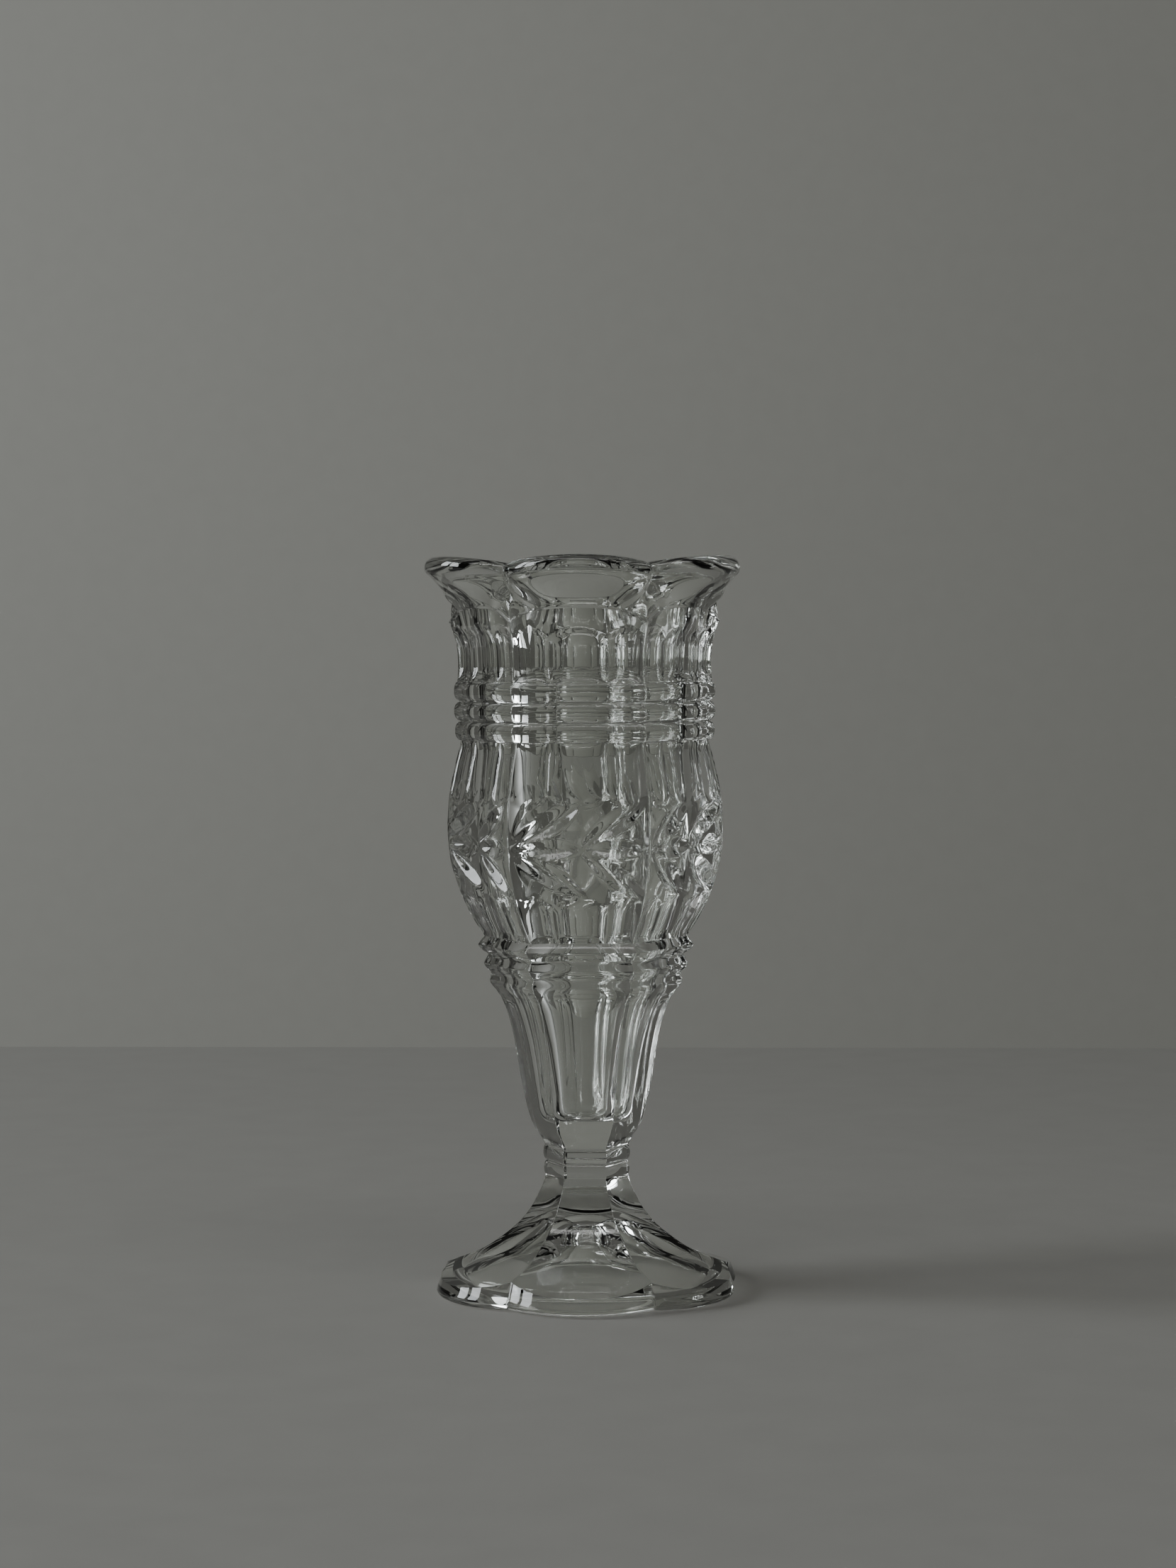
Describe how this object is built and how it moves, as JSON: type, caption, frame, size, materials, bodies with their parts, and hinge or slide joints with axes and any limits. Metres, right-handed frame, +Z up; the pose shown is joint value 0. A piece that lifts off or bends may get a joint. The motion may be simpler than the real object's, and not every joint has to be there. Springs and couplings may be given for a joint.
{
  "type": "bud vase",
  "caption": "Six-sided pressed-glass bud vase with a scalloped flared lip, fluted and leaf-cut bowl, ringed collar and lobed hollow foot.",
  "frame": {"origin": "centre of the flat ring that the foot stands on", "axes": "+Z up along the vase's axis, +X through a ridge between two panels, -Y through the middle of a panel"},
  "size_m": [0.0772, 0.0834, 0.1802],
  "materials": {
    "clear_glass": "fire-polished clear pressed glass with a faint grey-olive tint"
  },
  "bodies": {
    "root": {"bowl": "clear_glass", "stem_collar": "clear_glass", "foot": "clear_glass"}
  },
  "joints": []
}
